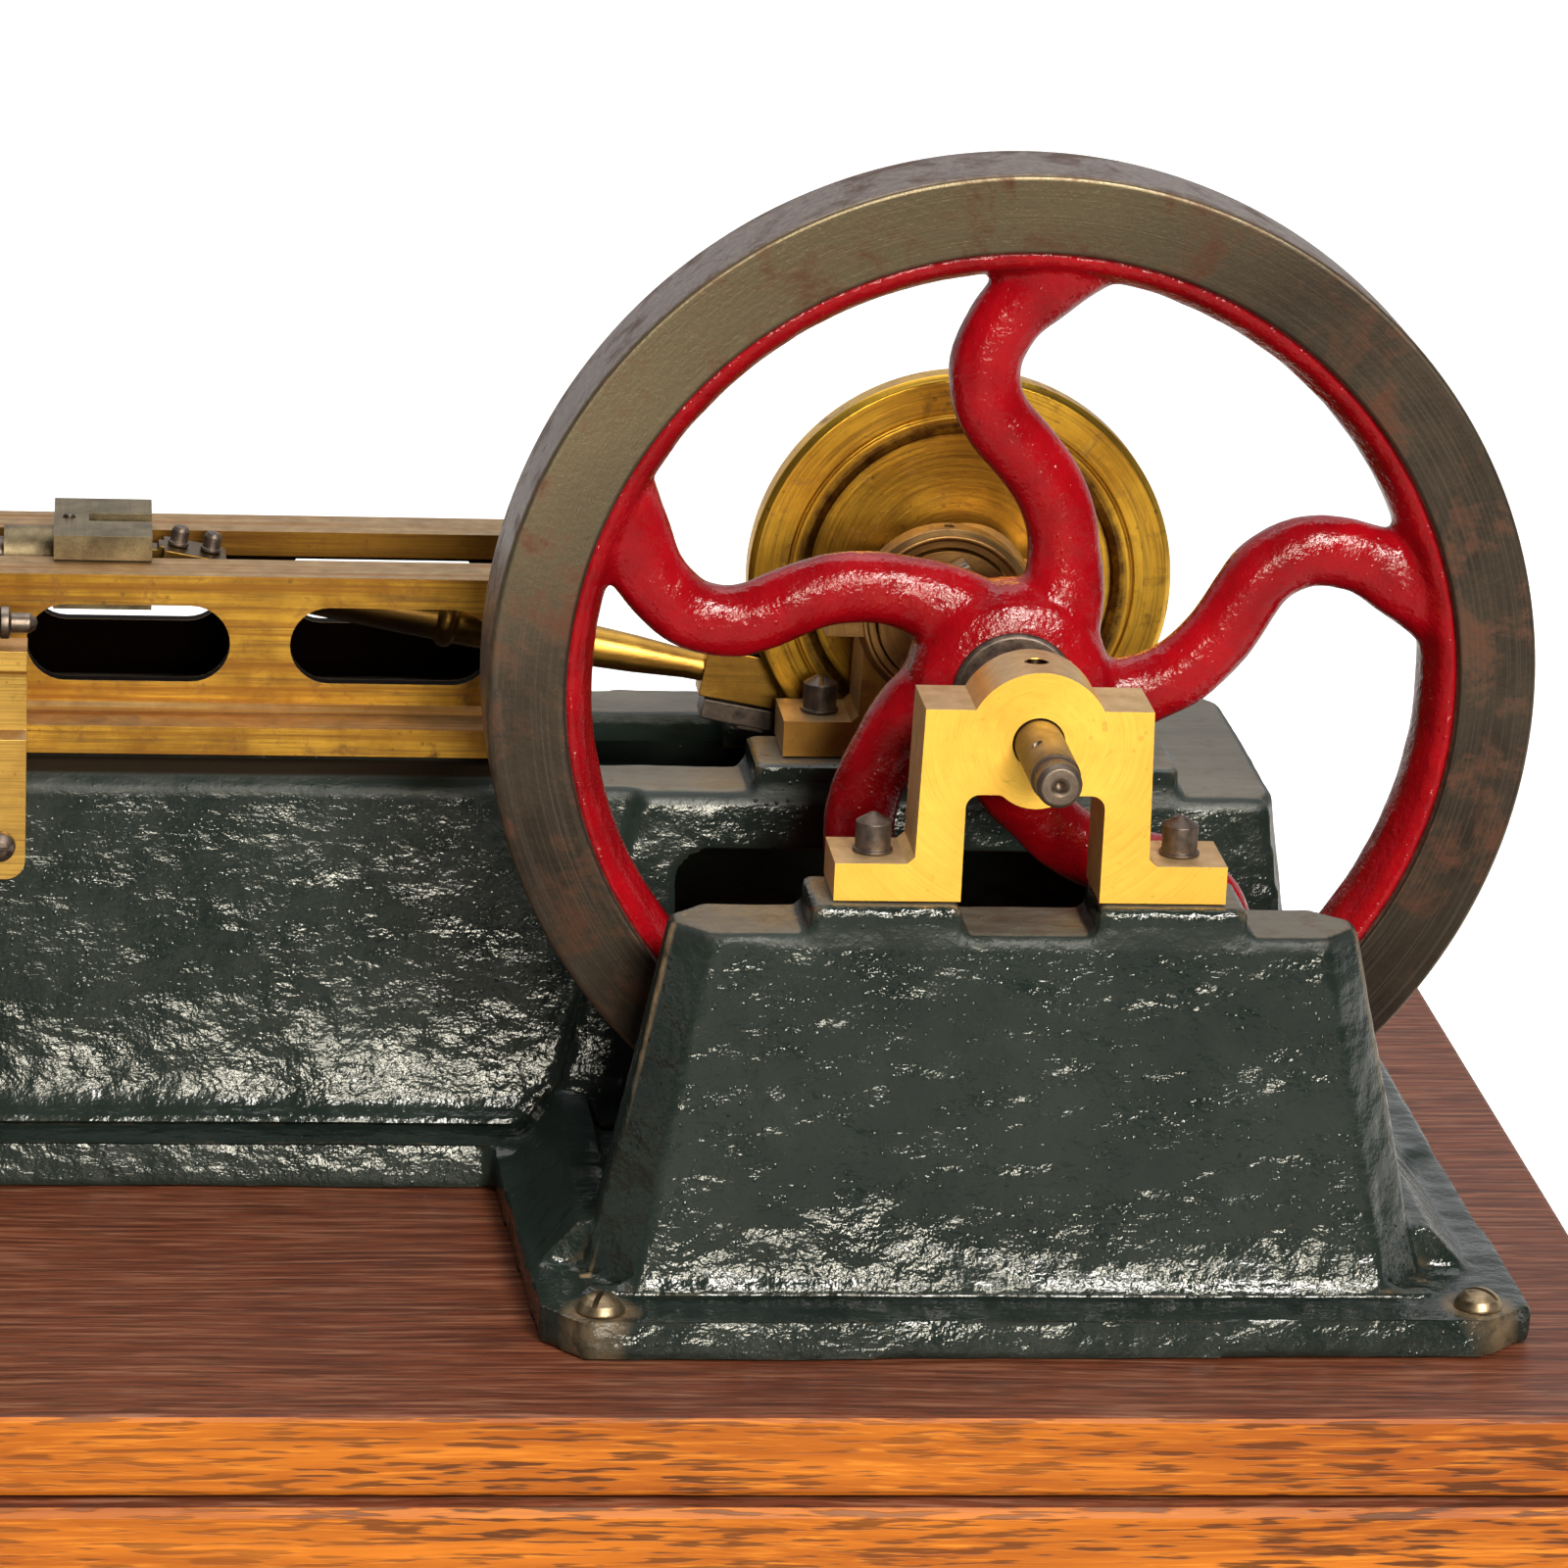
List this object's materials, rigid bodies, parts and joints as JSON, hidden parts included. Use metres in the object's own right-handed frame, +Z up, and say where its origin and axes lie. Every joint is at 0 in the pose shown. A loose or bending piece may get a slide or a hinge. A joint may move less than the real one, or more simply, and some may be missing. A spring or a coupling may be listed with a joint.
{
  "type": "model steam engine",
  "caption": "Horizontal mill steam engine model on a wooden baseboard: flywheel, brass bearings, crank disc, crosshead guides and slide-valve cylinder, all moving.",
  "frame": {"origin": "underside of the wooden plinth, directly below the point where the crankshaft axis crosses the engine's centre plane", "axes": "+X along the engine from the cylinder to the crank, +Y from the flywheel side to the far side, +Z up"},
  "size_m": [0.4045, 0.2041, 0.1882],
  "materials": {
    "mahogany": "satin varnish",
    "green_iron": "gloss paint on rough casting",
    "green_enamel": "gloss",
    "red_enamel": "gloss, with a machined grey rim",
    "brass": "brushed, tarnished",
    "turned_brass": "turned, tarnished",
    "steel": "brushed",
    "dark_steel": "blackened, worn"
  },
  "bodies": {
    "engine": {"plinth": "mahogany", "baseboard": "mahogany", "engine_bed": "green_iron", "outboard_bearing": "brass", "main_bearing": "brass", "outboard_bolt_left": "dark_steel", "outboard_bolt_right": "dark_steel", "main_bolt_left": "dark_steel", "main_bolt_right": "dark_steel", "pedestal_screw_left": "steel", "pedestal_screw_right": "steel", "bed_screw_front": "steel", "bed_screw_rear_left": "steel", "bed_screw_rear_right": "steel", "front_guide": "brass", "rear_guide": "brass", "front_guide_screw_1": "dark_steel", "front_guide_screw_2": "dark_steel", "rear_guide_screw_1": "dark_steel", "rear_guide_screw_2": "dark_steel", "cylinder": "green_enamel", "front_cylinder_cover": "turned_brass", "rear_cylinder_cover": "turned_brass", "front_cover_nut_1": "dark_steel", "front_cover_nut_2": "dark_steel", "front_cover_nut_3": "dark_steel", "front_cover_nut_4": "dark_steel", "piston_rod_gland": "turned_brass", "cylinder_bolt_front": "dark_steel", "cylinder_bolt_rear": "dark_steel", "steam_chest": "green_enamel", "steam_chest_cover": "brass", "chest_bolt_1": "dark_steel", "chest_bolt_2": "dark_steel", "spindle_bracket": "brass", "bracket_screw": "dark_steel", "steam_inlet_pipe": "turned_brass", "exhaust_pipe": "turned_brass"},
    "crank": {"crankshaft": "steel", "flywheel": "red_enamel", "flywheel_key": "dark_steel", "crank_disc": "turned_brass", "eccentric_sheave": "turned_brass", "eccentric_set_screw": "steel"},
    "strap": {"eccentric_strap": "turned_brass"},
    "crosshead": {"crosshead": "steel", "crosshead_cotter": "dark_steel", "gudgeon_pin": "steel", "piston_rod": "steel", "piston": "turned_brass"},
    "conrod": {"connecting_rod": "brass", "small_end_bolt_1": "dark_steel", "small_end_bolt_2": "dark_steel", "big_end_strap": "dark_steel", "big_end_brass": "brass", "big_end_cotter": "dark_steel", "crank_pin": "steel"},
    "valve": {"valve_spindle": "steel", "slide_valve": "brass", "spindle_lock_nut": "steel"}
  },
  "joints": [
    {"name": "crank_spin", "type": "hinge", "parent": "engine", "child": "crank", "pos_m": [0, 0, 0.112], "axis": [0, 1, 0], "continuous": true},
    {"name": "strap_turn", "type": "hinge", "parent": "crank", "child": "strap", "pos_m": [-0.0056, -0.0336, 0.1139], "axis": [0, 1, 0], "continuous": true},
    {"name": "crosshead_slide", "type": "slide", "parent": "engine", "child": "crosshead", "axis": [1, 0, 0], "range_m": [-0.0125, 0.0383]},
    {"name": "rod_swing", "type": "hinge", "parent": "crosshead", "child": "conrod", "pos_m": [-0.1297, 0, 0.112], "axis": [0, 1, 0], "range_deg": [-22.76, 2.36]},
    {"name": "valve_slide", "type": "slide", "parent": "engine", "child": "valve", "axis": [1, 0, 0], "range_m": [-0.0059, 0.0059]}
  ],
  "couplings": [
    {"joint": "strap_turn", "follows": "crank_spin", "ratio": -1}
  ]
}
